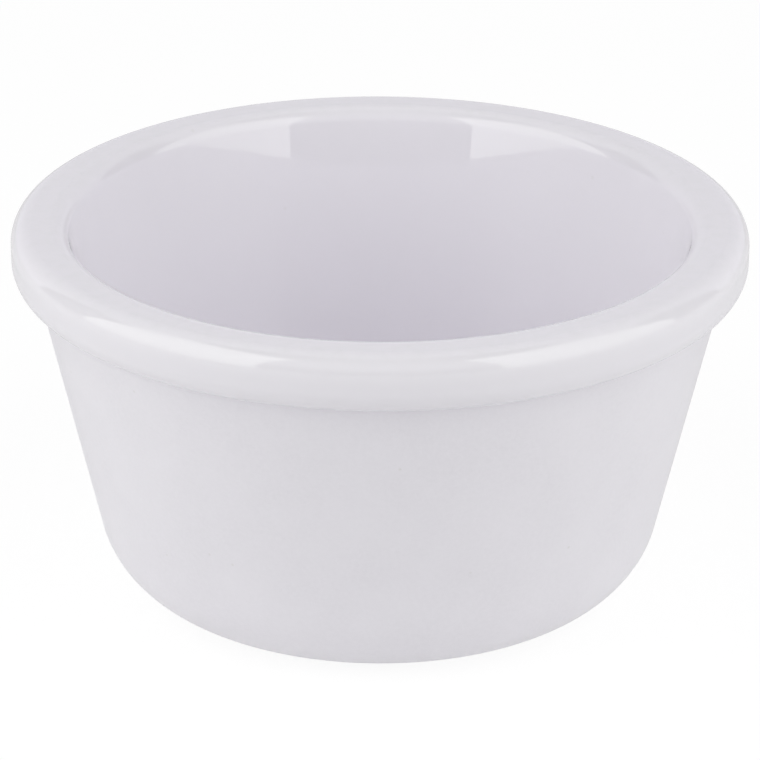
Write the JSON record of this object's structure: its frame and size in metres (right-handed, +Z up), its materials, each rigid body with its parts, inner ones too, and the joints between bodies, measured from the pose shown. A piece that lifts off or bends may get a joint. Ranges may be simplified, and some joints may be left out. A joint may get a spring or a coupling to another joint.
{
  "type": "dip bowl",
  "caption": "Round dip bowl with a thick rounded rim bead, tapering wall, round heel and ring foot, glossy inside and satin outside.",
  "frame": {"origin": "centre of the foot, in the plane that the bowl stands on", "axes": "+Z up along the bowl's axis of revolution"},
  "size_m": [0.076, 0.076, 0.0403],
  "materials": {
    "satin_melamine": "white pressed melamine, satin, with a very fine grain",
    "gloss_glaze": "white melamine glaze, polished gloss"
  },
  "bodies": {
    "root": {"moulded_body": "satin_melamine", "glaze_coat": "gloss_glaze"}
  },
  "joints": []
}
